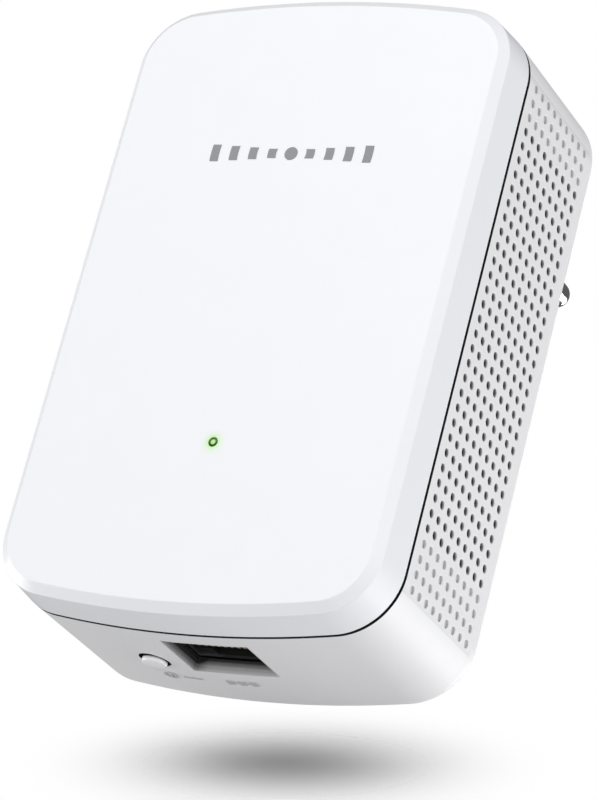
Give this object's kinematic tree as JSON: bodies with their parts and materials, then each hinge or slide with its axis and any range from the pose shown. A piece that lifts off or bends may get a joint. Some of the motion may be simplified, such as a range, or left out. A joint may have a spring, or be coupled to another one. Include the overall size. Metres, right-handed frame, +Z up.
{
  "type": "wifi range extender",
  "caption": "Compact white wall-plug wifi range extender: rounded upright body, vented sides, status light, reset button, network socket and two-pin mains plug.",
  "frame": {"origin": "midway between the two mains pins, in the plane of the housing's flat back face", "axes": "+Y out along the mains pins, into the wall; the front cover faces -Y; +Z up; +X to the right as seen from the front"},
  "size_m": [0.0588, 0.0699, 0.0943],
  "materials": {
    "cover_white": "satin moulded white, nearly flat sheen",
    "housing_white": "fine spark-eroded texture",
    "mark_grey": "pad-printed ink",
    "label_film": "blank printed film",
    "light_guide": "clear moulded light pipe",
    "led_resin": "water-clear resin over a green die",
    "pin_metal": "nickel plated brass",
    "sleeve_plastic": "insulating sleeve",
    "clip_brass": "bare stamped brass",
    "socket_black": "glass-filled black plastic",
    "sheet_steel": "tinned sheet steel",
    "contact_gold": "gold-plated wire",
    "button_white": "polished cap",
    "switch_black": "moulded switch case",
    "board_green": "solder mask over glass-epoxy",
    "board_tan": "paper-phenolic board",
    "chip_black": "moulded epoxy",
    "pad_grey": "soft thermal silicone",
    "spreader_aluminium": "rolled sheet",
    "film_amber": "thin insulating film",
    "ferrite_grey": "sintered ferrite",
    "bobbin_black": "phenolic moulding",
    "winding_tape": "yellow tape over copper wire",
    "can_sleeve": "shrink sleeve",
    "ceramic_tan": "sintered ceramic",
    "ceramic_blue": "dipped ceramic disc",
    "fuse_case": "moulded case",
    "screw_steel": "zinc-plated steel"
  },
  "bodies": {
    "extender": {"antenna_left": "sheet_steel", "antenna_right": "sheet_steel", "bridge_rectifier": "chip_black", "chip_capacitors": "ceramic_tan", "chip_thermal_pad": "pad_grey", "clock_crystal": "sheet_steel", "converter_chip": "chip_black", "converter_inductor": "ferrite_grey", "feedback_coupler": "chip_black", "filter_choke": "ferrite_grey", "flash_chip": "chip_black", "front_cover": "cover_white", "front_mark": "mark_grey", "fuse": "fuse_case", "heat_spreader": "spreader_aluminium", "input_capacitors": "can_sleeve", "insulation_sheet": "film_amber", "isolation_capacitor": "ceramic_blue", "jack_contacts": "contact_gold", "jack_insulator": "socket_black", "jack_shield": "sheet_steel", "light_pipe": "light_guide", "line_transformer": "chip_black", "link_pins": "contact_gold", "link_spacer": "bobbin_black", "main_board": "board_green", "main_board_screws": "screw_steel", "output_capacitors": "can_sleeve", "output_diode": "chip_black", "pin_clips": "clip_brass", "pin_sleeve_left": "sleeve_plastic", "pin_sleeve_right": "sleeve_plastic", "plug_carrier": "housing_white", "plug_pin_left": "pin_metal", "plug_pin_right": "pin_metal", "power_board": "board_tan", "power_board_screws": "screw_steel", "power_chip": "chip_black", "rating_label": "label_film", "rear_housing": "housing_white", "shield_can": "sheet_steel", "spreader_pad": "pad_grey", "status_led": "led_resin", "surge_absorber": "ceramic_blue", "switch_body": "switch_black", "transformer_bobbin": "bobbin_black", "transformer_core": "ferrite_grey", "transformer_winding": "winding_tape", "wifi_chip": "chip_black"},
    "reset_button": {"reset_button": "button_white"},
    "switch_plunger": {"switch_plunger": "button_white"}
  },
  "joints": [
    {"name": "reset_press", "type": "slide", "parent": "extender", "child": "reset_button", "axis": [0, 0, 1], "range_m": [0, 0.00035], "stiffness_N_per_m": 800},
    {"name": "plunger_press", "type": "slide", "parent": "extender", "child": "switch_plunger", "axis": [0, 0, 1], "range_m": [0, 0.00035]}
  ],
  "couplings": [
    {"joint": "plunger_press", "follows": "reset_press", "ratio": 1}
  ]
}
